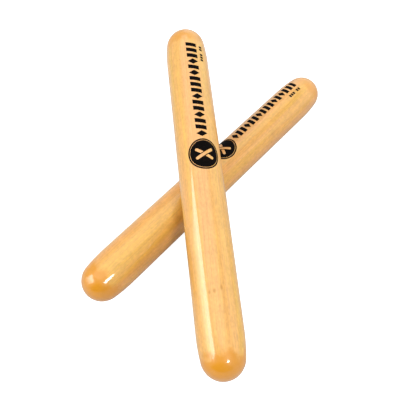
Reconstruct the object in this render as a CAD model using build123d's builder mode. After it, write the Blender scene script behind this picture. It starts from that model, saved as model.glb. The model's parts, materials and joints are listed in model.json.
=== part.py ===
"""A pair of claves: two solid turned hardwood sticks, one lying across the other.

The lower clave lies flat along X. The upper clave leans over it: its low end touches the surface, and its other end is
raised. All sizes are in millimetres and all angles in degrees. Z = 0 is the surface that the pair lies on, and the
origin is the middle of the pair's footprint.
"""

import os
from math import asin, cos, degrees, radians, sin, sqrt

from build123d import *

# One clave. Both are turned to the same size.
stick_length = 210.0
stick_diameter = 25.4
shoulder_radius = 100.0  # of the long arc that eases the shank into the nose
shoulder_turn = 8.0  # how far that arc turns before the round nose takes over

# How the pair lies.
crossing_angle = 48.0  # between the two claves, seen from above
crossing_offset = 17.5  # from the lower clave's middle to the crossing, towards -X
balance_offset = 4.5  # from the crossing to the upper clave's middle, towards its low end
resting_gap = 0.62  # between the two shanks where they are nearest: room for a thin clamp lining

# The stick's outline follows from those: shank, shoulder arc and nose arc are tangent.
stick_radius = stick_diameter / 2
shoulder_length = shoulder_radius * sin(radians(shoulder_turn))
shoulder_drop = shoulder_radius * (1 - cos(radians(shoulder_turn)))
nose_radius = (stick_radius - shoulder_drop) / cos(radians(shoulder_turn))
nose_length = nose_radius * (1 - sin(radians(shoulder_turn)))
shank_length = stick_length - 2 * (shoulder_length + nose_length)
middle_to_nose = stick_length / 2 - nose_radius  # to the centre of the nose's ball


def resting_tilt():
    """Returns the upper clave's tilt, with its low nose on the surface and its shank on the lower one's."""
    from_nose = middle_to_nose + balance_offset
    tilt = 0.0
    for _ in range(20):  # each pass corrects the tilt for the way it shortens the crossing
        lean = sin(radians(crossing_angle)) * cos(tilt)
        rise = (stick_diameter + resting_gap) * lean / sqrt(sin(tilt) ** 2 + lean**2)
        tilt = asin((stick_radius + rise - nose_radius) / from_nose)
    return degrees(tilt)


def lying_places():
    """Returns the middle of the lower clave, the middle of the upper one, and the upper one's direction."""
    tilt = radians(resting_tilt())
    heading = radians(crossing_angle)
    rising = Vector(cos(heading) * cos(tilt), sin(heading) * cos(tilt), sin(tilt))
    across = Vector(1, 0, 0).cross(rising).normalized()
    crossing = Vector(-crossing_offset, 0, stick_radius)
    upper = crossing + across * (stick_diameter + resting_gap) - rising * balance_offset

    # The upper clave's two noses reach further in Y than the lower clave does, so they set the footprint's middle.
    footprint_middle = Vector(0, upper.Y, 0)
    return Vector(0, 0, stick_radius) - footprint_middle, upper - footprint_middle, rising


def turned_stick(bed):
    """Returns one clave, turned about the X direction of the plane bed, whose origin is the clave's middle."""
    with BuildPart() as stick:
        with BuildSketch(bed):
            with BuildLine():
                shank = Line((-shank_length / 2, stick_radius), (shank_length / 2, stick_radius))
                shoulder = JernArc(shank @ 1, shank % 1, shoulder_radius, -shoulder_turn)
                nose = JernArc(shoulder @ 1, shoulder % 1, nose_radius, shoulder_turn - 90)
                mirror(shoulder, about=Plane.YZ)
                mirror(nose, about=Plane.YZ)
                Line(nose @ 1, (-(nose @ 1).X, 0))
            make_face()
        revolve(axis=Axis(bed.origin, bed.x_dir))
    return stick.part


lower_middle, upper_middle, upper_direction = lying_places()

lower_clave = turned_stick(Plane(origin=lower_middle, x_dir=(1, 0, 0), z_dir=(0, 0, 1)))
lower_clave.label = "lower_clave"

upper_side = Vector(0, 0, 1).cross(upper_direction)
upper_clave = turned_stick(
    Plane(origin=upper_middle, x_dir=upper_direction, z_dir=upper_direction.cross(upper_side))
)
upper_clave.label = "upper_clave"

# The upper clave swings about the middle of its low nose, as in the hand that strikes with it.
swing_centre = upper_middle - upper_direction * middle_to_nose
swing_axis = -upper_side.normalized()

os.makedirs("parts", exist_ok=True)
for clave in (lower_clave, upper_clave):
    export_step(clave, f"parts/{clave.label}.step")
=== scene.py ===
"""A pair of claves: two turned sticks of lacquered hard maple, lying crossed on a white table.

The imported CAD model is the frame. Each CAD stick is replaced by a finer turned stick of the same outline, and
each stick carries its print: a round badge, a long band and a short row of marks, all in black ink. Lengths
are in metres, angles in radians, and a clave's own frame has X along the stick, towards its printed end, and
Z upwards. The materials' own sizes are in millimetres.
"""

import sys

import json
import logging
from collections.abc import Callable, Iterator, Sequence
from contextlib import contextmanager
from dataclasses import dataclass
from enum import Enum
from math import asin, atan2, ceil, cos, hypot, pi, radians, sin, tan

import bmesh
import bpy
from mathutils import Euler, Matrix, Vector


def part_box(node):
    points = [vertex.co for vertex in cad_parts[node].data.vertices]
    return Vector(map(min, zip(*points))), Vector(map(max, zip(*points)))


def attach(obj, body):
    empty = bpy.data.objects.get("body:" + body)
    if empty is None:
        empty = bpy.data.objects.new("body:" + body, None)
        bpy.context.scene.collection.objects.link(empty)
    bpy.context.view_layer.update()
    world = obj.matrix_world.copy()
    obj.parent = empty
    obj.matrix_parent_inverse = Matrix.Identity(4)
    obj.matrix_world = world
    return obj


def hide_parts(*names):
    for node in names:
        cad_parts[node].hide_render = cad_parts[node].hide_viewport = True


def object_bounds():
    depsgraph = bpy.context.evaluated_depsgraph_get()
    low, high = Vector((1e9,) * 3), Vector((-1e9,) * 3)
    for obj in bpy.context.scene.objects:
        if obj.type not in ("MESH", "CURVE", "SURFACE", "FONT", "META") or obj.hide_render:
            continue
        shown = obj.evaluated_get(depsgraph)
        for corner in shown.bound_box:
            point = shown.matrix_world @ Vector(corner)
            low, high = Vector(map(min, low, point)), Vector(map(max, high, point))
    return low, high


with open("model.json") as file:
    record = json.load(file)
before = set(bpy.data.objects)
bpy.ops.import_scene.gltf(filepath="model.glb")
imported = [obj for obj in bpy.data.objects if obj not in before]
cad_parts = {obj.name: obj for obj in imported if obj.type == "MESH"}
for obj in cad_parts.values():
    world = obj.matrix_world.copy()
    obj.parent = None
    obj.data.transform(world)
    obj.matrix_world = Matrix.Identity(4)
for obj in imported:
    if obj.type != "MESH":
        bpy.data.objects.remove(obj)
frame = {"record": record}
CAD_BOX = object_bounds()

MM = 0.001
FACING = 0.9  # how far a face's normal reaches along an axis when the face points that way
PLANK_SHIFT = 100.0  # millimetres along the plank for each radian that a stick was turned round in it
NOISE_LOW, NOISE_HIGH = 0.25, 0.75  # noise seldom leaves this range
FIBRE_WIDTH = 0.55  # millimetres: real fibres are finer than the render shows, so they are drawn this coarse
log = logging.getLogger("claves")


# Working with Blender as by hand ---------------------------------------------------------------------------


def pick(*pieces: bpy.types.Object) -> bpy.types.Object:
    """Selects only these objects and makes the first of them active.

    Args:
        pieces: the objects to select.

    Returns:
        The first object, which is now the active one.
    """
    bpy.ops.object.select_all(action="DESELECT")
    for piece in pieces:
        piece.select_set(True)
    bpy.context.view_layer.objects.active = pieces[0]
    return pieces[0]


class Element(Enum):
    """What a selection in edit mode is made of."""

    VERT = "verts"
    EDGE = "edges"
    FACE = "faces"


@contextmanager
def edit_mode(piece: bpy.types.Object, element: Element = Element.FACE) -> Iterator[None]:
    """Opens a piece in edit mode with nothing selected, and closes it again.

    Args:
        piece: the mesh object to edit.
        element: what a selection is made of.
    """
    pick(piece)
    bpy.ops.object.mode_set(mode="EDIT")
    bpy.ops.mesh.select_mode(type=element.name)
    bpy.ops.mesh.select_all(action="DESELECT")
    try:
        yield
    finally:
        bpy.ops.object.mode_set(mode="OBJECT")


def select_where(piece: bpy.types.Object, element: Element, rule: Callable[..., bool]) -> None:
    """Selects the vertices, edges or faces that a rule picks, in edit mode.

    Args:
        piece: the object that is open in edit mode.
        element: what the rule is asked about.
        rule: says whether one of them is selected.
    """
    mesh = bmesh.from_edit_mesh(piece.data)
    for one in getattr(mesh, element.value):
        one.select_set(rule(one))
    mesh.select_flush_mode()
    bmesh.update_edit_mesh(piece.data)


def new_piece(name: str) -> bpy.types.Object:
    """Names the primitive that was just added, and takes its place and turn into its mesh.

    Args:
        name: the piece's name.

    Returns:
        The new object.
    """
    piece = pick(bpy.context.object)
    bpy.ops.object.transform_apply(location=True, rotation=True, scale=True)
    piece.name = piece.data.name = name
    return piece


def put(piece: bpy.types.Object, place: Matrix) -> bpy.types.Object:
    """Moves a piece and takes the move into its mesh, so that its object stays at the origin.

    Args:
        piece: the object to move.
        place: the move.

    Returns:
        The same object.
    """
    pick(piece)
    piece.matrix_world = place @ piece.matrix_world
    bpy.ops.object.transform_apply(location=True, rotation=True, scale=True)
    return piece


def finish_with(piece: bpy.types.Object, kind: str, **settings: object) -> bpy.types.Object:
    """Adds one modifier and applies it.

    Args:
        piece: the object that the modifier shapes.
        kind: the modifier's type.
        settings: the modifier's settings by name.

    Returns:
        The same object.
    """
    pick(piece)
    modifier = piece.modifiers.new(kind.title(), kind)
    for setting, value in settings.items():
        setattr(modifier, setting, value)
    bpy.ops.object.modifier_apply(modifier=modifier.name)
    return piece


def copy_of(piece: bpy.types.Object, place: Matrix) -> bpy.types.Object:
    """Copies a piece with a mesh of its own, and moves the copy.

    Args:
        piece: the object to copy.
        place: the move.

    Returns:
        The copy.
    """
    pick(piece)
    bpy.ops.object.duplicate(linked=False)
    return put(bpy.context.object, place)


def joined(name: str, pieces: Sequence[bpy.types.Object]) -> bpy.types.Object:
    """Joins pieces into one object.

    Args:
        name: the name of the joined piece.
        pieces: the objects to join, which are used up.

    Returns:
        The joined object.
    """
    pick(*pieces)
    bpy.ops.object.join()
    whole = bpy.context.object
    whole.name = whole.data.name = name
    return whole


# The turned stick ------------------------------------------------------------------------------------------


@dataclass(frozen=True)
class StickShape:
    """The turned outline of one clave: a straight shank, a long easing arc and a round nose at both ends."""

    length: float
    radius: float
    shank_length: float
    shoulder_radius: float = 100 * MM
    shoulder_turn: float = radians(8)
    around: int = 192
    shank_rows: int = 40
    shoulder_rows: int = 7
    nose_rows: int = 22
    unevenness: float = 0.07 * MM  # left by sanding by hand, from the lowest place to the highest
    unevenness_spacing: float = 22 * MM

    @property
    def nose_radius(self) -> float:
        """The radius of the nose, which meets the shoulder arc without a corner."""
        fall = self.shoulder_radius * (1 - cos(self.shoulder_turn))
        return (self.radius - fall) / cos(self.shoulder_turn)

    @property
    def nose_centre(self) -> float:
        """How far the centre of the nose's ball is from the stick's middle."""
        return self.length / 2 - self.nose_radius

    def outline(self) -> list[tuple[float, float]]:
        """Lists the rings from the shank's end to the tip.

        Returns:
            Pairs of the distance from the stick's middle and the radius there, without the tip itself.
        """
        rings = []
        for row in range(1, self.shoulder_rows + 1):
            turn = self.shoulder_turn * row / self.shoulder_rows
            along = self.shank_length / 2 + self.shoulder_radius * sin(turn)
            rings.append((along, self.radius - self.shoulder_radius * (1 - cos(turn))))
        for row in range(1, self.nose_rows):
            turn = self.shoulder_turn + (pi / 2 - self.shoulder_turn) * row / self.nose_rows
            rings.append((self.nose_centre + self.nose_radius * sin(turn), self.nose_radius * cos(turn)))
        return rings

    def turn_stick(self, name: str, seed_shift: float) -> bpy.types.Object:
        """Turns one stick along X, with its middle at the origin.

        Args:
            name: the piece's name.
            seed_shift: moves the pattern of unevenness along, so that no two sticks are alike.

        Returns:
            The stick.
        """
        bpy.ops.object.select_all(action="DESELECT")
        bpy.ops.mesh.primitive_cylinder_add(
            vertices=self.around, radius=self.radius, depth=self.shank_length, rotation=(0, pi / 2, 0)
        )
        stick = new_piece(name)
        with edit_mode(stick, Element.EDGE):
            select_where(
                stick, Element.EDGE, lambda edge: abs(edge.verts[0].co.x - edge.verts[1].co.x) > self.radius
            )
            bpy.ops.mesh.subdivide(number_cuts=self.shank_rows - 1)
        for end in (1, -1):
            self.draw_out_end(stick, end)
        stick.data.update()
        self.sand_by_hand(stick, seed_shift)
        pick(stick)
        bpy.ops.object.shade_smooth()
        return stick

    def draw_out_end(self, stick: bpy.types.Object, end: int) -> None:
        """Draws one flat end of the cylinder out into its shoulder and nose.

        Args:
            stick: the cylinder.
            end: 1 for the end at +X, -1 for the end at -X.
        """
        with edit_mode(stick):
            select_where(stick, Element.FACE, lambda face: face.normal.x * end > FACING)
            along, radius = self.shank_length / 2, self.radius
            for next_along, next_radius in self.outline():
                step = (end * (next_along - along), 0, 0)
                bpy.ops.mesh.extrude_region_move(TRANSFORM_OT_translate={"value": step})
                shrink = next_radius / radius
                centre = (end * next_along, 0, 0)
                bpy.ops.transform.resize(value=(1, shrink, shrink), center_override=centre)
                along, radius = next_along, next_radius
            bpy.ops.mesh.poke()
            select_where(
                stick,
                Element.VERT,
                lambda vert: hypot(vert.co.y, vert.co.z) < radius / 2 and vert.co.x * end > self.nose_centre,
            )
            bpy.ops.transform.translate(value=(end * (self.length / 2 - along), 0, 0))

    def sand_by_hand(self, stick: bpy.types.Object, seed_shift: float) -> None:
        """Leaves the slight unevenness of a stick that is sanded by hand, which makes its reflections waver.

        Args:
            stick: the turned stick.
            seed_shift: moves the pattern of unevenness along.
        """
        pattern = bpy.data.textures.new("hand_sanding", "CLOUDS")
        pattern.noise_scale = self.unevenness_spacing
        pattern.noise_depth = 1
        put(stick, Matrix.Translation((seed_shift, 0, 0)))
        finish_with(
            stick,
            "DISPLACE",
            texture=pattern,
            texture_coords="LOCAL",
            strength=self.unevenness,
            mid_level=0.5,
        )
        put(stick, Matrix.Translation((-seed_shift, 0, 0)))


@dataclass(frozen=True)
class Lie:
    """Where one clave lies: its middle, and its direction towards its printed end."""

    middle: Vector
    direction: Vector

    @property
    def turn(self) -> Euler:
        """The turn from a clave's own frame, with X along the stick and Z upwards, to the row frame."""
        tilt = asin(self.direction.z)
        return Euler((0, -tilt, atan2(self.direction.y, self.direction.x)))

    @property
    def place(self) -> Matrix:
        """The move from a clave's own frame to the row frame."""
        return Matrix.Translation(self.middle) @ self.turn.to_matrix().to_4x4()


# The print -------------------------------------------------------------------------------------------------


@dataclass(frozen=True)
class InkFilm:
    """A film of screen ink that is drawn flat and then laid round a stick.

    A flat drawing has X along the stick, Y round it as arc length, and Z out of the stick.
    """

    thickness: float = 0.03 * MM
    strip_round: float = 0.7 * MM  # the drawing is cut this fine, so that it bends round the stick
    strip_along: float = 1.5 * MM
    lift: float = 0.25  # of the thickness, between the stick and the film
    cut_reach: float = 0.0001 * MM  # a vertex this near to a cut is on it

    def cut_in_strips(self, sheet: bpy.types.Object) -> None:
        """Cuts a flat drawing into small faces both ways.

        Args:
            sheet: the flat drawing.
        """
        points = [vert.co.copy() for vert in sheet.data.vertices]
        with edit_mode(sheet):
            for axis, width in ((0, self.strip_along), (1, self.strip_round)):
                low = min(point[axis] for point in points)
                high = max(point[axis] for point in points)
                cuts = ceil((high - low) / width)
                for cut in range(1, cuts):
                    normal = Vector((0, 0, 0))
                    normal[axis] = 1
                    bpy.ops.mesh.select_all(action="SELECT")
                    place = normal * (low + (high - low) * cut / cuts)
                    bpy.ops.mesh.bisect(plane_co=place, plane_no=normal, threshold=self.cut_reach)

    def lay(self, sheet: bpy.types.Object, stick: bpy.types.Object, radius: float, roll: float) -> None:
        """Bends a flat drawing round a stick, settles it on the surface and gives it its thickness.

        Args:
            sheet: the flat drawing, which becomes the film.
            stick: the stick, in its own frame.
            radius: the stick's radius.
            roll: how far the drawing's middle line is turned round the stick from straight up, to the right.
        """
        self.cut_in_strips(sheet)
        put(sheet, Matrix.Rotation(pi / 2, 4, "X"))  # the Bend modifier bends what lies along Z
        heights = [vert.co.z for vert in sheet.data.vertices]
        finish_with(
            sheet,
            "SIMPLE_DEFORM",
            deform_method="BEND",
            deform_axis="X",
            angle=(max(heights) - min(heights)) / radius,
        )
        stand_up = Matrix.Rotation(-pi / 2, 4, "X")
        on_top = Matrix.Translation((0, 0, radius))
        put(sheet, Matrix.Rotation(roll, 4, "X") @ on_top @ stand_up)
        finish_with(
            sheet,
            "SHRINKWRAP",
            target=stick,
            wrap_method="NEAREST_SURFACEPOINT",
            wrap_mode="ABOVE_SURFACE",
            offset=self.thickness * self.lift,
        )
        finish_with(sheet, "SOLIDIFY", thickness=self.thickness, offset=1)


class Motif(Enum):
    """The marks of the printed band: one for each step of a rhythm."""

    STROKE = "diamond"
    REST = "slanted bar"


@dataclass(frozen=True)
class Band:
    """The long printed band: sixteen steps of the three-two clave rhythm, as diamonds among slanted bars."""

    start: float = 16 * MM  # from the stick's printed end
    length: float = 64 * MM
    height: float = 6.5 * MM
    strokes: tuple[int, ...] = (1, 4, 7, 11, 13)
    steps: int = 16
    diamond_share: float = 0.94  # of a step's length
    bar_share: float = 0.64
    slant: float = 0.9 * MM

    def motif(self, kind: Motif) -> bpy.types.Object:
        """Draws one mark about the origin.

        Args:
            kind: which mark.

        Returns:
            The flat mark.
        """
        step = self.length / self.steps
        bpy.ops.object.select_all(action="DESELECT")
        if kind is Motif.STROKE:
            bpy.ops.mesh.primitive_circle_add(vertices=4, radius=0.5, fill_type="NGON")
            width = step * self.diamond_share
        else:
            bpy.ops.mesh.primitive_plane_add(size=1)
            width = step * self.bar_share
        mark = new_piece(kind.name.lower())
        put(mark, Matrix.Diagonal((width, self.height, 1, 1)))
        if kind is Motif.REST:
            with edit_mode(mark, Element.VERT):
                select_where(mark, Element.VERT, lambda vert: vert.co.y > 0)
                bpy.ops.transform.translate(value=(self.slant, 0, 0))
                bpy.ops.mesh.select_all(action="SELECT")
                bpy.ops.transform.translate(value=(-self.slant / 2, 0, 0))
        return mark

    def draw(self, name: str, printed_end: float) -> bpy.types.Object:
        """Draws the whole band flat.

        Args:
            name: the piece's name.
            printed_end: where the stick's printed end is along X.

        Returns:
            The flat band.
        """
        marks = {kind: self.motif(kind) for kind in Motif}
        step = self.length / self.steps
        row = []
        for index in range(self.steps):
            kind = Motif.STROKE if index + 1 in self.strokes else Motif.REST
            along = printed_end - self.start - self.length + step * (index + 0.5)
            row.append(copy_of(marks[kind], Matrix.Translation((along, 0, 0))))
        for mark in marks.values():
            bpy.data.objects.remove(mark)
        return joined(name, row)


@dataclass(frozen=True)
class SmallMarks:
    """The short row of small upright marks beside the band's outer end: three and two."""

    start: float = 18 * MM
    length: float = 11 * MM
    height: float = 2 * MM
    below: float = 6.3 * MM  # from the band's middle line
    marks: int = 5
    gap_after: int = 3
    mark_share: float = 0.74

    def draw(self, name: str, printed_end: float) -> bpy.types.Object:
        """Draws the row flat.

        Args:
            name: the piece's name.
            printed_end: where the stick's printed end is along X.

        Returns:
            The flat row.
        """
        step = self.length / (self.marks + 1)
        bpy.ops.object.select_all(action="DESELECT")
        bpy.ops.mesh.primitive_plane_add(size=1)
        mark = new_piece("small_mark")
        put(mark, Matrix.Diagonal((step * self.mark_share, self.height, 1, 1)))
        row = []
        for index in range(self.marks):
            after_gap = index >= self.gap_after
            along = printed_end - self.start - self.length + step * (index + after_gap + 0.5)
            row.append(copy_of(mark, Matrix.Translation((along, -self.below, 0))))
        bpy.data.objects.remove(mark)
        return joined(name, row)


@dataclass(frozen=True)
class Badge:
    """The round badge: a fine ring round a solid disc, in which two crossed sticks are left bare."""

    centre: float = 90.6 * MM  # from the stick's printed end
    ring_radius: float = 9.3 * MM
    ring_width: float = 0.85 * MM
    disc_radius: float = 8.2 * MM
    stick_length: float = 11.6 * MM
    stick_width: float = 1.8 * MM
    crossing: float = radians(62)
    parting: float = 0.5 * MM  # the line of ink that parts the lower stick from the upper one
    round_sides: int = 120
    cutter_sides: int = 30
    blank_depth: float = 1 * MM  # of the disc while the sticks are cut out of it
    cutter_depth: float = 3 * MM

    def ring(self) -> bpy.types.Object:
        """Draws the fine ring: a disc whose inset middle is taken out.

        Returns:
            The flat ring.
        """
        bpy.ops.object.select_all(action="DESELECT")
        bpy.ops.mesh.primitive_circle_add(
            vertices=self.round_sides, radius=self.ring_radius, fill_type="NGON"
        )
        ring = new_piece("ring")
        with edit_mode(ring):
            bpy.ops.mesh.select_all(action="SELECT")
            bpy.ops.mesh.inset(thickness=self.ring_width)
            bpy.ops.mesh.delete(type="FACE")
        return ring

    def cutter(self, length: float, width: float, turn: float) -> bpy.types.Object:
        """Makes a solid stick with round ends that cuts a bare stick out of the disc.

        Args:
            length: the stick's length.
            width: the stick's width.
            turn: its direction in the badge.

        Returns:
            The cutter.
        """
        bpy.ops.object.select_all(action="DESELECT")
        bpy.ops.mesh.primitive_cylinder_add(
            vertices=self.cutter_sides, radius=width / 2, depth=self.cutter_depth
        )
        cutter = new_piece("cutter")
        for side in (1, -1):
            with edit_mode(cutter, Element.VERT):
                select_where(cutter, Element.VERT, lambda vert: vert.co.y * side > 0)
                bpy.ops.transform.translate(value=(0, side * (length - width) / 2, 0))
        return put(cutter, Matrix.Rotation(turn, 4, "Z"))

    def draw(self, name: str, printed_end: float) -> bpy.types.Object:
        """Draws the whole badge flat.

        Args:
            name: the piece's name.
            printed_end: where the stick's printed end is along X.

        Returns:
            The flat badge.
        """
        bpy.ops.object.select_all(action="DESELECT")
        bpy.ops.mesh.primitive_cylinder_add(
            vertices=self.round_sides, radius=self.disc_radius, depth=self.blank_depth
        )
        blank = new_piece("blank")
        over = self.cutter(self.stick_length, self.stick_width, self.crossing / 2)
        parted = self.cutter(2 * self.stick_length, self.stick_width + 2 * self.parting, self.crossing / 2)
        under = self.cutter(self.stick_length, self.stick_width, -self.crossing / 2)
        finish_with(under, "BOOLEAN", object=parted, operation="DIFFERENCE", solver="EXACT")
        for cutter in (over, under):
            finish_with(blank, "BOOLEAN", object=cutter, operation="DIFFERENCE", solver="EXACT")
        for cutter in (over, parted, under):
            bpy.data.objects.remove(cutter)
        with edit_mode(blank):
            select_where(blank, Element.FACE, lambda face: face.normal.z < FACING)
            bpy.ops.mesh.delete(type="FACE")
        put(blank, Matrix.Translation((0, 0, -self.blank_depth / 2)))
        badge = joined(name, [blank, self.ring()])
        return put(badge, Matrix.Translation((printed_end - self.centre, 0, 0)))


# Finishes --------------------------------------------------------------------------------------------------


def linear(code: str) -> tuple[float, float, float, float]:
    """Turns an sRGB colour code into the linear colour that shaders use.

    Args:
        code: six hex digits, red first.

    Returns:
        Linear red, green, blue and an alpha of 1.
    """
    shares = [int(code[place : place + 2], 16) / 255 for place in (0, 2, 4)]
    red, green, blue = (  # the numbers are the sRGB standard's
        share / 12.92 if share <= 0.04045 else ((share + 0.055) / 1.055) ** 2.4 for share in shares
    )
    return red, green, blue, 1.0


def per_mm(along: float, across: float) -> tuple[float, float, float]:
    """Gives the scale of a pattern whose features are this long and this wide, in millimetres."""
    return 1 / along, 1 / across, 1 / across


def add_node(
    tree: bpy.types.NodeTree, kind: str, inputs: dict[str | int, object] | None = None, **settings: object
) -> bpy.types.Node:
    """Adds one node to a tree.

    Args:
        tree: the node tree.
        kind: the node's type, without its ShaderNode prefix.
        inputs: values for the node's sockets, or the output sockets that they are linked to.
        settings: the node's own settings.

    Returns:
        The new node.
    """
    node = tree.nodes.new("ShaderNode" + kind)
    for setting, value in settings.items():
        setattr(node, setting, value)
    for socket, value in (inputs or {}).items():
        if isinstance(value, bpy.types.NodeSocket):
            tree.links.new(value, node.inputs[socket])
        else:
            node.inputs[socket].default_value = value
    return node


def new_material(name: str) -> tuple[bpy.types.Material, bpy.types.NodeTree]:
    """Makes a material with an empty node tree.

    Args:
        name: the material's name.

    Returns:
        The material and its node tree.
    """
    material = bpy.data.materials.new(name)
    material.use_nodes = True
    material.node_tree.nodes.clear()
    return material, material.node_tree


@dataclass(frozen=True)
class PinKnot:
    """A small dark fleck where a twig began. Sizes are in millimetres."""

    along: float  # from the stick's middle, towards its printed end
    around: float  # degrees round the stick from straight up, to the left when looking to its printed end
    size: float


@dataclass(frozen=True)
class ShadePattern:
    """A soft pattern that makes the wood a little darker and lighter. Sizes are in millimetres."""

    length: float  # of one feature, along the grain
    width: float
    darkest: float
    lightest: float
    detail: float = 1.0
    roughness: float = 0.5

    def shade(
        self, tree: bpy.types.NodeTree, colour: bpy.types.NodeSocket, plank: bpy.types.NodeSocket
    ) -> bpy.types.NodeSocket:
        """Makes a colour darker and lighter.

        Args:
            tree: the material's node tree.
            colour: the colour so far.
            plank: places in the plank.

        Returns:
            The colour's socket.
        """
        places = add_node(tree, "Mapping", {"Vector": plank, "Scale": per_mm(self.length, self.width)})
        noise = add_node(
            tree,
            "TexNoise",
            {
                "Vector": places.outputs["Vector"],
                "Scale": 1.0,
                "Detail": self.detail,
                "Roughness": self.roughness,
            },
        )
        light = add_node(
            tree,
            "MapRange",
            {
                "Value": noise.outputs["Fac"],
                "From Min": NOISE_LOW,
                "From Max": NOISE_HIGH,
                "To Min": self.darkest,
                "To Max": self.lightest,
            },
        ).outputs[0]
        return add_node(tree, "VectorMath", {0: colour, "Scale": light}, operation="SCALE").outputs[0]


@dataclass(frozen=True)
class LacqueredMaple:
    """Hard maple, turned and sanded, under a clear gloss lacquer that gives it a honey yellow.

    The eye sees a pale honey ground with soft bands of yellow and peach along the stick, fine darker lines
    where the growth rings end, short flecks of the rays, amber end grain on the noses, and sharp reflections
    in a smooth clear coat. Sizes are in millimetres.
    """

    yellow: str = "DAA844"
    peach: str = "DCA058"
    latewood: str = "C4823A"
    fleck: str = "B87832"
    end_grain: str = "CE880A"
    knot: str = "AC7414"

    from_pith: float = 64.0  # the stick was cut this far from the middle of the tree
    run_out: float = radians(1.1)  # between the grain and the stick
    ring_width: float = 2.3
    ring_warp: float = 3.0
    warp_length: float = 110.0
    warp_width: float = 24.0
    latewood_start: float = 0.55  # of a ring's width
    latewood_share: float = 0.38
    band_length: float = 180.0
    band_width: float = 6.0
    band_edges: tuple[float, float] = (0.35, 0.65)  # the noise's values that are all yellow and all peach

    shades: tuple[ShadePattern, ...] = (
        ShadePattern(16, FIBRE_WIDTH, 0.85, 1.12, detail=3.0, roughness=0.6),  # the fibres
        ShadePattern(5, 7, 0.94, 1.06, detail=2.0),  # the figure
        ShadePattern(1.8, 1.1, 0.91, 1.08),  # the mottle
    )

    fleck_length: float = 3.2
    fleck_width: float = 0.5
    fleck_edges: tuple[float, float] = (0.34, 0.12)  # from its middle: where it begins, and where it is full
    fleck_choice: tuple[float, float] = (0.62, 0.95)  # a fleck shows when its random value is above the first
    fleck_strength: float = 0.4

    patch_size: float = 5.0
    patchiness: float = 16.0  # how far along the stick the amber comes and goes
    amber_start: float = 3.0  # beyond the nose's centre, for places that the patches moved towards the tip
    amber_full: float = 2.0  # short of the tip, for the same places
    printed_end: float = 0.65  # share of the amber that the printed end takes, chosen for its look
    turnover: float = 1.0  # half the length of the change from one end's amber to the other's

    knot_stretch: float = 0.6  # a knot's width over its length
    knot_core: float = 0.1  # share of its size that is all dark
    knot_strength: float = 0.65

    roughness: float = 0.42
    coat_roughness: float = 0.07
    ior: float = 1.5  # of the wood's surface and of the lacquer
    pore_length: float = 10.0
    pore_relief: float = 0.003
    flow_length: float = 6.0
    flow_width: float = 2.5
    flow_relief: float = 0.006

    def material(
        self, name: str, lie: Lie, shape: StickShape, cut: float, knots: Sequence[PinKnot]
    ) -> bpy.types.Material:
        """Makes the wood of one stick.

        Args:
            name: the material's name.
            lie: where the stick lies.
            shape: the stick's outline.
            cut: how the stick was turned round in its plank, which sets where the rings show.
            knots: the pin knots that show.

        Returns:
            The material.
        """
        material, tree = new_material(name)
        places = add_node(tree, "TexCoord").outputs["Object"]
        stick = add_node(
            tree,
            "Mapping",
            {"Vector": places, "Location": lie.middle, "Rotation": lie.turn, "Scale": (MM, MM, MM)},
            vector_type="TEXTURE",
        ).outputs["Vector"]
        plank = add_node(
            tree,
            "Mapping",
            {
                "Vector": stick,
                "Location": (cut * PLANK_SHIFT, self.from_pith, 0),
                "Rotation": (cut, 0, self.run_out),
            },
        ).outputs["Vector"]
        colour = self.ground(tree, plank)
        for pattern in self.shades:
            colour = pattern.shade(tree, colour, plank)
        colour = self.flecks_on(tree, colour, plank)
        colour = self.end_grain_on(tree, colour, stick, shape)
        colour = self.knots_on(tree, colour, stick, shape, knots)
        self.lacquer(tree, colour, plank)
        return material

    def ground(self, tree: bpy.types.NodeTree, plank: bpy.types.NodeSocket) -> bpy.types.NodeSocket:
        """Makes the ground colour of the side grain: bands of yellow and peach, and growth rings.

        Args:
            tree: the material's node tree.
            plank: places in the plank, with the pith along X.

        Returns:
            The colour's socket.
        """
        warp = add_node(
            tree, "Mapping", {"Vector": plank, "Scale": per_mm(self.warp_length, self.warp_width)}
        ).outputs["Vector"]
        warp = add_node(tree, "TexNoise", {"Vector": warp, "Scale": 1.0, "Detail": 1.0}).outputs["Color"]
        warp = add_node(tree, "VectorMath", {0: warp, 1: (0.5, 0.5, 0.5)}, operation="SUBTRACT").outputs[0]
        reach = (0, self.ring_warp, self.ring_warp)
        warp = add_node(tree, "VectorMath", {0: warp, 1: reach}, operation="MULTIPLY").outputs[0]
        bent = add_node(tree, "VectorMath", {0: plank, 1: warp}, operation="ADD").outputs[0]

        across = add_node(tree, "VectorMath", {0: bent, 1: (0, 1, 1)}, operation="MULTIPLY").outputs[0]
        from_pith = add_node(tree, "VectorMath", {0: across}, operation="LENGTH").outputs["Value"]
        rings = add_node(tree, "Math", {0: from_pith, 1: self.ring_width}, operation="DIVIDE").outputs[0]
        ring = add_node(tree, "Math", {0: rings}, operation="FLOOR").outputs[0]
        season = add_node(tree, "Math", {0: rings}, operation="FRACT").outputs[0]
        strength = add_node(tree, "TexWhiteNoise", {"W": ring}, noise_dimensions="1D").outputs["Value"]
        late = add_node(
            tree,
            "MapRange",
            {"Value": season, "From Min": self.latewood_start, "From Max": 1.0},
            interpolation_type="SMOOTHSTEP",
        ).outputs[0]
        late = add_node(tree, "Math", {0: late, 1: strength}, operation="MULTIPLY").outputs[0]
        late = add_node(tree, "Math", {0: late, 1: self.latewood_share}, operation="MULTIPLY").outputs[0]

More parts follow.
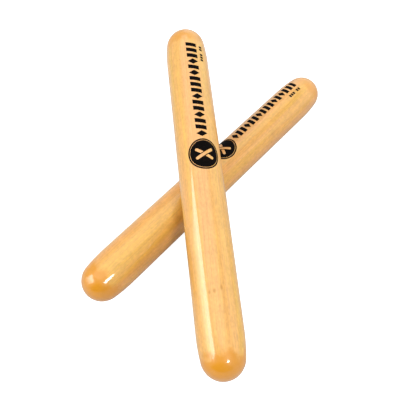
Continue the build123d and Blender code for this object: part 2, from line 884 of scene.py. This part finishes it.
        bands = add_node(
            tree, "Mapping", {"Vector": bent, "Scale": per_mm(self.band_length, self.band_width)}
        ).outputs["Vector"]
        bands = add_node(tree, "TexNoise", {"Vector": bands, "Scale": 1.0, "Detail": 2.0}).outputs["Fac"]
        all_yellow, all_peach = self.band_edges
        bands = add_node(
            tree, "MapRange", {"Value": bands, "From Min": all_yellow, "From Max": all_peach}
        ).outputs[0]
        colour = add_node(
            tree, "MixRGB", {"Fac": bands, "Color1": linear(self.yellow), "Color2": linear(self.peach)}
        ).outputs[0]
        return add_node(
            tree, "MixRGB", {"Fac": late, "Color1": colour, "Color2": linear(self.latewood)}
        ).outputs[0]

    def flecks_on(
        self, tree: bpy.types.NodeTree, colour: bpy.types.NodeSocket, plank: bpy.types.NodeSocket
    ) -> bpy.types.NodeSocket:
        """Adds the short flecks of the rays.

        Args:
            tree: the material's node tree.
            colour: the colour so far.
            plank: places in the plank.

        Returns:
            The colour's socket.
        """
        rays = add_node(
            tree, "Mapping", {"Vector": plank, "Scale": per_mm(self.fleck_length, self.fleck_width)}
        ).outputs["Vector"]
        rays = add_node(tree, "TexVoronoi", {"Vector": rays, "Scale": 1.0})
        begins, full = self.fleck_edges
        near = add_node(
            tree, "MapRange", {"Value": rays.outputs["Distance"], "From Min": begins, "From Max": full}
        ).outputs[0]
        some = add_node(tree, "SeparateColor", {"Color": rays.outputs["Color"]}).outputs[0]
        faint, clear = self.fleck_choice
        some = add_node(
            tree,
            "MapRange",
            {"Value": some, "From Min": faint, "From Max": clear, "To Max": self.fleck_strength},
        ).outputs[0]
        flecks = add_node(tree, "Math", {0: near, 1: some}, operation="MULTIPLY").outputs[0]
        return add_node(
            tree, "MixRGB", {"Fac": flecks, "Color1": colour, "Color2": linear(self.fleck)}
        ).outputs[0]

    def end_grain_on(
        self,
        tree: bpy.types.NodeTree,
        colour: bpy.types.NodeSocket,
        stick: bpy.types.NodeSocket,
        shape: StickShape,
    ) -> bpy.types.NodeSocket:
        """Darkens the noses, where the end grain shows, to amber.

        Args:
            tree: the material's node tree.
            colour: the side grain's colour.
            stick: places in the stick's own frame.
            shape: the stick's outline.

        Returns:
            The colour's socket.
        """
        signed = add_node(tree, "SeparateXYZ", {0: stick}).outputs[0]
        along = add_node(tree, "Math", {0: signed}, operation="ABSOLUTE").outputs[0]
        patches = add_node(
            tree, "Mapping", {"Vector": stick, "Scale": per_mm(self.patch_size, self.patch_size)}
        ).outputs["Vector"]
        patches = add_node(tree, "TexNoise", {"Vector": patches, "Scale": 1.0, "Detail": 3.0}).outputs["Fac"]
        ragged = add_node(
            tree, "Math", {0: patches, 1: self.patchiness, 2: along}, operation="MULTIPLY_ADD"
        ).outputs[0]
        share = add_node(
            tree,
            "MapRange",
            {
                "Value": ragged,
                "From Min": shape.nose_centre / MM + self.amber_start,
                "From Max": shape.length / 2 / MM - self.amber_full,
            },
            interpolation_type="SMOOTHSTEP",
        ).outputs[0]
        by_end = add_node(
            tree,
            "MapRange",
            {
                "Value": signed,
                "From Min": -self.turnover,
                "From Max": self.turnover,
                "To Min": 1.0,
                "To Max": self.printed_end,
            },
        ).outputs[0]
        share = add_node(tree, "Math", {0: share, 1: by_end}, operation="MULTIPLY").outputs[0]
        return add_node(
            tree, "MixRGB", {"Fac": share, "Color1": colour, "Color2": linear(self.end_grain)}
        ).outputs[0]

    def knots_on(
        self,
        tree: bpy.types.NodeTree,
        colour: bpy.types.NodeSocket,
        stick: bpy.types.NodeSocket,
        shape: StickShape,
        knots: Sequence[PinKnot],
    ) -> bpy.types.NodeSocket:
        """Adds the pin knots.

        Args:
            tree: the material's node tree.
            colour: the wood's colour so far.
            stick: places in the stick's own frame.
            shape: the stick's outline.
            knots: the pin knots.

        Returns:
            The colour's socket.
        """
        radius = shape.radius / MM
        stretch = (self.knot_stretch, 1, 1)
        for knot in knots:
            around = radians(knot.around)
            centre = (knot.along, radius * sin(around), radius * cos(around))
            away = add_node(tree, "VectorMath", {0: stick, 1: centre}, operation="SUBTRACT").outputs[0]
            away = add_node(tree, "VectorMath", {0: away, 1: stretch}, operation="MULTIPLY").outputs[0]
            away = add_node(tree, "VectorMath", {0: away}, operation="LENGTH").outputs["Value"]
            dark = add_node(
                tree,
                "MapRange",
                {
                    "Value": away,
                    "From Min": knot.size,
                    "From Max": self.knot_core * knot.size,
                    "To Max": self.knot_strength,
                },
                interpolation_type="SMOOTHSTEP",
            ).outputs[0]
            colour = add_node(
                tree, "MixRGB", {"Fac": dark, "Color1": colour, "Color2": linear(self.knot)}
            ).outputs[0]
        return colour

    def lacquer(
        self, tree: bpy.types.NodeTree, colour: bpy.types.NodeSocket, plank: bpy.types.NodeSocket
    ) -> None:
        """Puts the wood under its clear coat.

        Args:
            tree: the material's node tree.
            colour: the wood's colour.
            plank: places in the plank.
        """
        pores = add_node(
            tree, "Mapping", {"Vector": plank, "Scale": per_mm(self.pore_length, FIBRE_WIDTH)}
        ).outputs["Vector"]
        pores = add_node(tree, "TexNoise", {"Vector": pores, "Scale": 1.0, "Detail": 2.0}).outputs["Fac"]
        under = add_node(tree, "Bump", {"Height": pores, "Distance": self.pore_relief * MM}).outputs[0]
        flow = add_node(
            tree, "Mapping", {"Vector": plank, "Scale": per_mm(self.flow_length, self.flow_width)}
        ).outputs["Vector"]
        flow = add_node(tree, "TexNoise", {"Vector": flow, "Scale": 1.0, "Detail": 1.0}).outputs["Fac"]
        over = add_node(tree, "Bump", {"Height": flow, "Distance": self.flow_relief * MM}).outputs[0]
        surface = add_node(
            tree,
            "BsdfPrincipled",
            {
                "Base Color": colour,
                "Roughness": self.roughness,
                "IOR": self.ior,
                "Normal": under,
                "Coat Weight": 1.0,
                "Coat Roughness": self.coat_roughness,
                "Coat IOR": self.ior,
                "Coat Normal": over,
            },
        )
        add_node(tree, "OutputMaterial", {"Surface": surface.outputs[0]})


@dataclass(frozen=True)
class ScreenInk:
    """Black screen-printing ink on the lacquer. Sizes are in millimetres.

    The eye sees a flat, deep brown-black with hardly any shine, a little thinner in places.
    """

    thick: str = "060403"
    thin: str = "1C120D"
    thin_spot: float = 0.8
    thin_edges: tuple[float, float] = (0.52, 0.75)  # the noise's values where thin ink begins and is thinnest
    thin_share: float = 0.8
    relief: float = 0.004
    roughness: float = 0.6
    shine: float = 0.04

    def material(self, name: str) -> bpy.types.Material:
        """Makes the ink.

        Args:
            name: the material's name.

        Returns:
            The material.
        """
        material, tree = new_material(name)
        places = add_node(tree, "TexCoord").outputs["Object"]
        spots = 1 / (self.thin_spot * MM)
        cover = add_node(tree, "TexNoise", {"Vector": places, "Scale": spots, "Detail": 3.0}).outputs["Fac"]
        begins, thinnest = self.thin_edges
        thin = add_node(
            tree,
            "MapRange",
            {"Value": cover, "From Min": begins, "From Max": thinnest, "To Max": self.thin_share},
        ).outputs[0]
        colour = add_node(
            tree, "MixRGB", {"Fac": thin, "Color1": linear(self.thick), "Color2": linear(self.thin)}
        ).outputs[0]
        relief = add_node(tree, "Bump", {"Height": cover, "Distance": self.relief * MM}).outputs[0]
        surface = add_node(
            tree,
            "BsdfPrincipled",
            {
                "Base Color": colour,
                "Roughness": self.roughness,
                "Specular IOR Level": self.shine,
                "Normal": relief,
            },
        )
        add_node(tree, "OutputMaterial", {"Surface": surface.outputs[0]})
        return material


@dataclass(frozen=True)
class TableAcrylic:
    """A matt acrylic table top that looks as if it were lit from below.

    The eye sees plain white with hardly a shadow on it. The sheet is a mid grey, and the glow that whitens it
    is for the camera only, so it lights nothing.
    """

    base: str = "BCBCBC"
    glow_colour: str = "FFFFFF"
    glow: float = 0.95
    roughness: float = 0.9
    shine: float = 0.1

    def material(self, name: str) -> bpy.types.Material:
        """Makes the table top.

        Args:
            name: the material's name.

        Returns:
            The material.
        """
        material, tree = new_material(name)
        seen = add_node(tree, "LightPath").outputs["Is Camera Ray"]
        glow = add_node(tree, "Math", {0: seen, 1: self.glow}, operation="MULTIPLY").outputs[0]
        surface = add_node(
            tree,
            "BsdfPrincipled",
            {
                "Base Color": linear(self.base),
                "Roughness": self.roughness,
                "Specular IOR Level": self.shine,
                "Emission Color": linear(self.glow_colour),
                "Emission Strength": glow,
            },
        )
        add_node(tree, "OutputMaterial", {"Surface": surface.outputs[0]})
        return material


# The object ------------------------------------------------------------------------------------------------


@dataclass(frozen=True)
class Clave:
    """One clave: a turned stick and its three prints."""

    name: str
    node: str
    body: str
    shape: StickShape
    lie: Lie
    print_roll: float  # of the band's middle line round the stick from straight up, to the left
    cut: float  # how the stick was turned round in its plank, and so where along the plank it came from
    knots: tuple[PinKnot, ...]
    wood: LacqueredMaple = LacqueredMaple()
    ink: ScreenInk = ScreenInk()
    film: InkFilm = InkFilm()
    band: Band = Band()
    small_marks: SmallMarks = SmallMarks()
    badge: Badge = Badge()

    def build(self) -> None:
        """Builds the stick and the three prints in place, with their materials, body and slots."""
        stick = self.shape.turn_stick(f"{self.name}_stick", self.cut * PLANK_SHIFT * MM)
        printed_end = self.shape.length / 2
        prints = [
            self.badge.draw(f"{self.name}_badge", printed_end),
            self.band.draw(f"{self.name}_band", printed_end),
            self.small_marks.draw(f"{self.name}_small_marks", printed_end),
        ]
        for film in prints:
            self.film.lay(film, stick, self.shape.radius, -self.print_roll)
        self.dress(stick, prints)
        for piece in (stick, *prints):
            put(piece, self.lie.place)
            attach(piece, self.body)
            log.info("%s: %d faces, on %s", piece.name, len(piece.data.polygons), self.body)
        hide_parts(self.node)

    def dress(self, stick: bpy.types.Object, prints: Sequence[bpy.types.Object]) -> None:
        """Gives the stick its wood and the prints their ink.

        Args:
            stick: the turned stick.
            prints: the films of ink.
        """
        wood = self.wood.material(f"{self.name}_lacquered_maple", self.lie, self.shape, self.cut, self.knots)
        stick.data.materials.append(wood)
        ink = self.ink.material(f"{self.name}_screen_ink")
        for film in prints:
            film.data.materials.append(ink)


# The studio ------------------------------------------------------------------------------------------------


def towards(azimuth: float, elevation: float) -> Vector:
    """Gives the direction at an azimuth, counted from +X towards +Y, and an elevation."""
    return Vector((cos(azimuth) * cos(elevation), sin(azimuth) * cos(elevation), sin(elevation)))


@dataclass(frozen=True)
class Softbox:
    """An evenly lit panel that faces the claves, given by how large and how bright it looks from them."""

    name: str
    azimuth: float
    elevation: float
    width: float  # the angle that it fills
    height: float
    brightness: float  # of its face, where 1 is white
    distance: float = 3.0
    round: bool = False
    reflected: bool = True  # False for a light that brightens and shows in no reflection

    def set_up(self, aim: Vector) -> None:
        """Puts the panel in place.

        Args:
            aim: the point that the panel faces.
        """
        direction = towards(self.azimuth, self.elevation)
        turn = direction.to_track_quat("Z", "Y").to_euler()
        bpy.ops.object.light_add(type="AREA", location=aim + direction * self.distance, rotation=turn)
        lamp = bpy.context.object
        lamp.name = lamp.data.name = self.name
        lamp.data.shape = "ELLIPSE" if self.round else "RECTANGLE"
        across, up = (2 * self.distance * tan(angle / 2) for angle in (self.width, self.height))
        lamp.data.size, lamp.data.size_y = across, up
        area = across * up * (pi / 4 if self.round else 1)
        lamp.data.energy = self.brightness * pi * area
        lamp.visible_glossy = self.reflected


@dataclass(frozen=True)
class Camera:
    """The camera, at a three-quarter view from above the two near noses."""

    azimuth: float = radians(-130.76)
    elevation: float = radians(55.88)
    roll: float = radians(-8.0)
    distance: float = 290.3 * MM
    aim: Vector = Vector((-21.2 * MM, 2.7 * MM, 20 * MM))
    lens: float = 43.74
    nearest: float = 10 * MM

    def set_up(self) -> None:
        """Puts the camera in place and makes it the scene's camera."""
        direction = towards(self.azimuth, self.elevation)
        turn = direction.to_track_quat("Z", "Y") @ Euler((0, 0, self.roll)).to_quaternion()
        bpy.ops.object.camera_add(location=self.aim + direction * self.distance, rotation=turn.to_euler())
        camera = bpy.context.object
        camera.name = "camera"
        camera.data.lens = self.lens
        camera.data.clip_start = self.nearest
        bpy.context.scene.camera = camera


@dataclass(frozen=True)
class Studio:
    """A pale table, soft lights above and on three sides, and a room that is dim behind the camera."""

    aim: Vector = Vector((-20 * MM, 0, 20 * MM))
    table_size: float = 12.0
    table_sides: int = 64
    room_colour: str = "FFFFFF"
    backdrop: float = 1.0  # the room's brightness where the camera looks straight at it
    bright: float = 0.6  # its brightness as light and in reflections
    dim: float = 0.05
    dim_azimuth: float = radians(-142)
    dim_elevation: float = radians(5)
    dim_edges: tuple[float, float] = (0.6, 0.8)  # cosines from its middle: where it begins and is full
    lights: tuple[Softbox, ...] = (
        Softbox("overhead", radians(40), radians(80), radians(66), radians(66), 1.05, round=True),
        Softbox("side", radians(-5), radians(22), radians(100), radians(44), 0.8),
        Softbox("strip_top", radians(147), radians(42), radians(36), radians(18), 6.2),
        Softbox("strip_middle", radians(144), radians(26), radians(32), radians(14), 3.4),
        Softbox("strip_low", radians(140), radians(12), radians(30), radians(14), 1.2),
        Softbox("fill", radians(-110), radians(12), radians(90), radians(40), 0.9, reflected=False),
        Softbox("lamp", radians(-100), radians(44), radians(12), radians(12), 26.0, round=True),
    )

    def set_up(self) -> None:
        """Builds the table, the lights and the world."""
        bpy.ops.object.select_all(action="DESELECT")
        bpy.ops.mesh.primitive_circle_add(
            vertices=self.table_sides, radius=self.table_size / 2, fill_type="NGON"
        )
        table = new_piece("table")
        put(table, Matrix.Translation((0, 0, CAD_BOX[0].z)))
        table.data.materials.append(TableAcrylic().material("matt_acrylic"))
        for light in self.lights:
            light.set_up(self.aim)
            log.info("light %s", light.name)
        self.light_room()
        bpy.context.scene.view_settings.view_transform = "Standard"

    def light_room(self) -> None:
        """Makes the world: white all round, and dim low down behind the camera."""
        world = bpy.data.worlds.new("white_studio")
        bpy.context.scene.world = world
        world.use_nodes = True
        tree = world.node_tree
        tree.nodes.clear()
        way = add_node(tree, "TexCoord").outputs["Generated"]
        dim_way = towards(self.dim_azimuth, self.dim_elevation)
        near = add_node(tree, "VectorMath", {0: way, 1: dim_way}, operation="DOT_PRODUCT").outputs["Value"]
        begins, full = self.dim_edges
        strength = add_node(
            tree,
            "MapRange",
            {"Value": near, "From Min": begins, "From Max": full, "To Min": self.bright, "To Max": self.dim},
            interpolation_type="SMOOTHSTEP",
        ).outputs[0]
        seen = add_node(tree, "LightPath").outputs["Is Camera Ray"]
        strength = add_node(tree, "Mix", {0: seen, 2: strength, 3: self.backdrop}).outputs[0]
        light = add_node(tree, "Background", {"Color": linear(self.room_colour), "Strength": strength})
        add_node(tree, "OutputWorld", {"Surface": light.outputs[0]})


def main() -> None:
    """Builds the two claves in the studio."""
    logging.basicConfig(level=logging.INFO, format="%(name)s: %(message)s", stream=sys.stdout)
    mounts = {mount["name"]: mount for mount in frame["record"]["mounts"]}
    low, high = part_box("lower_clave")
    stretch = mounts["lower_shank"]["dims"]
    shape = StickShape(high.x - low.x, stretch["r_mm"] * MM, stretch["length_mm"] * MM)
    lies = {}
    for name in ("lower", "upper"):
        shank = mounts[f"{name}_shank"]
        lies[name] = Lie(Vector(shank["pos_m"]), Vector(shank["axis"]).normalized())
    claves = (
        Clave(
            name="lower",
            node="lower_clave",
            body="lower_clave",
            shape=shape,
            lie=lies["lower"],
            print_roll=radians(18.5),
            cut=2.2,
            knots=(PinKnot(-48, 30, 0.8), PinKnot(22, -150, 1.2)),
            # painted shade: the lower stick's maple is a deeper yellow and peach than the upper's, for the
            # shade it lies in under the upper stick and down on the table
            wood=LacqueredMaple(yellow="D6A23C", peach="D89A50"),
        ),
        Clave(
            name="upper",
            node="upper_clave",
            body="upper_clave",
            shape=shape,
            lie=lies["upper"],
            print_roll=radians(-16),
            cut=0.6,
            knots=(
                PinKnot(-61.3, 1, 1.2),
                PinKnot(-61.8, 12.5, 1.0),
                PinKnot(-59.8, -16, 1.2),
                PinKnot(-92, 43, 0.8),
                PinKnot(35, 160, 1.3),
            ),
        ),
    )
    for clave in claves:
        clave.build()
    Studio().set_up()
    Camera().set_up()


if __name__ == "__main__":
    main()
